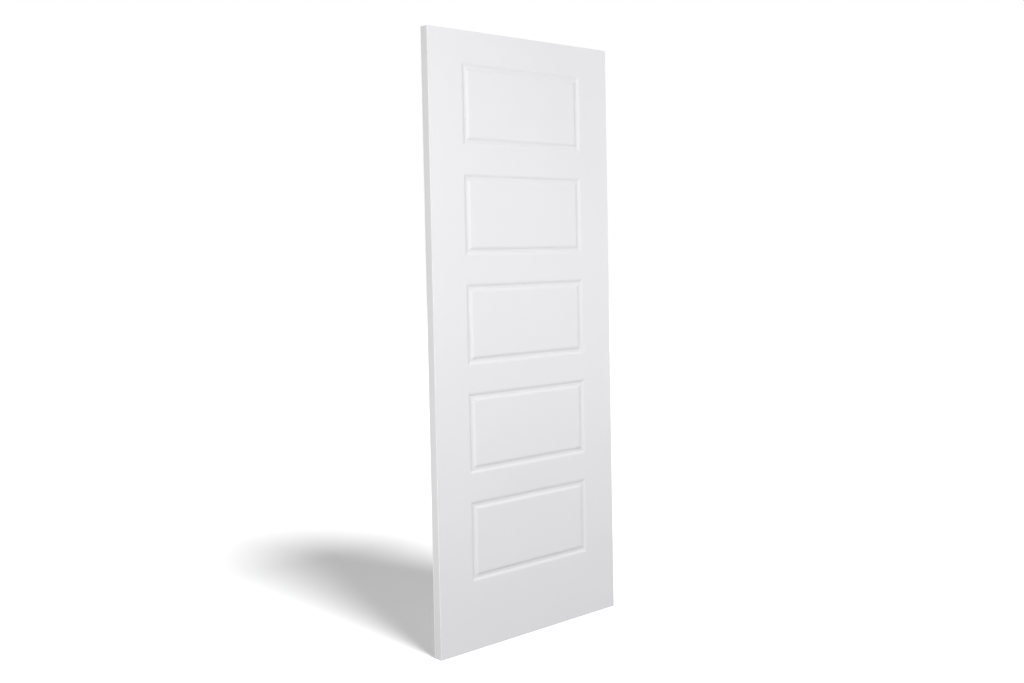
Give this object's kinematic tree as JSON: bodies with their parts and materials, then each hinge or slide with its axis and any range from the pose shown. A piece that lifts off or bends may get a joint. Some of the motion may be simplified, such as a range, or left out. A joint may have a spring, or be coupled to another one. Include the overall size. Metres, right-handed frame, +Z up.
{
  "type": "five panel interior door slab",
  "caption": "White primed, moulded hollow interior door slab with equal wide panels, one above the other, to hang in a frame.",
  "frame": {"origin": "middle of the bottom edge", "axes": "+Z up along the height, +X along the width to the right as seen from the front face, +Y through the thickness from the front face to the back face"},
  "size_m": [0.8128, 0.035, 2.032],
  "materials": {
    "primed_hardboard": "matte",
    "primed_wood": "matte",
    "bare_wood": "matte",
    "kraft_paper": "matte"
  },
  "bodies": {
    "root": {"front_skin": "primed_hardboard", "back_skin": "primed_hardboard", "left_stile": "primed_wood", "right_stile": "primed_wood", "top_rail": "primed_wood", "bottom_rail": "primed_wood", "left_lock_block": "bare_wood", "right_lock_block": "bare_wood", "core_panel_1": "kraft_paper", "core_panel_2": "kraft_paper", "core_panel_3": "kraft_paper", "core_panel_4": "kraft_paper", "core_panel_5": "kraft_paper", "core_rail_1": "kraft_paper", "core_rail_2": "kraft_paper", "core_rail_3": "kraft_paper", "core_rail_4": "kraft_paper", "core_top": "kraft_paper", "core_bottom": "kraft_paper", "core_left_upper": "kraft_paper", "core_left_lower": "kraft_paper", "core_right_upper": "kraft_paper", "core_right_lower": "kraft_paper"}
  },
  "joints": []
}
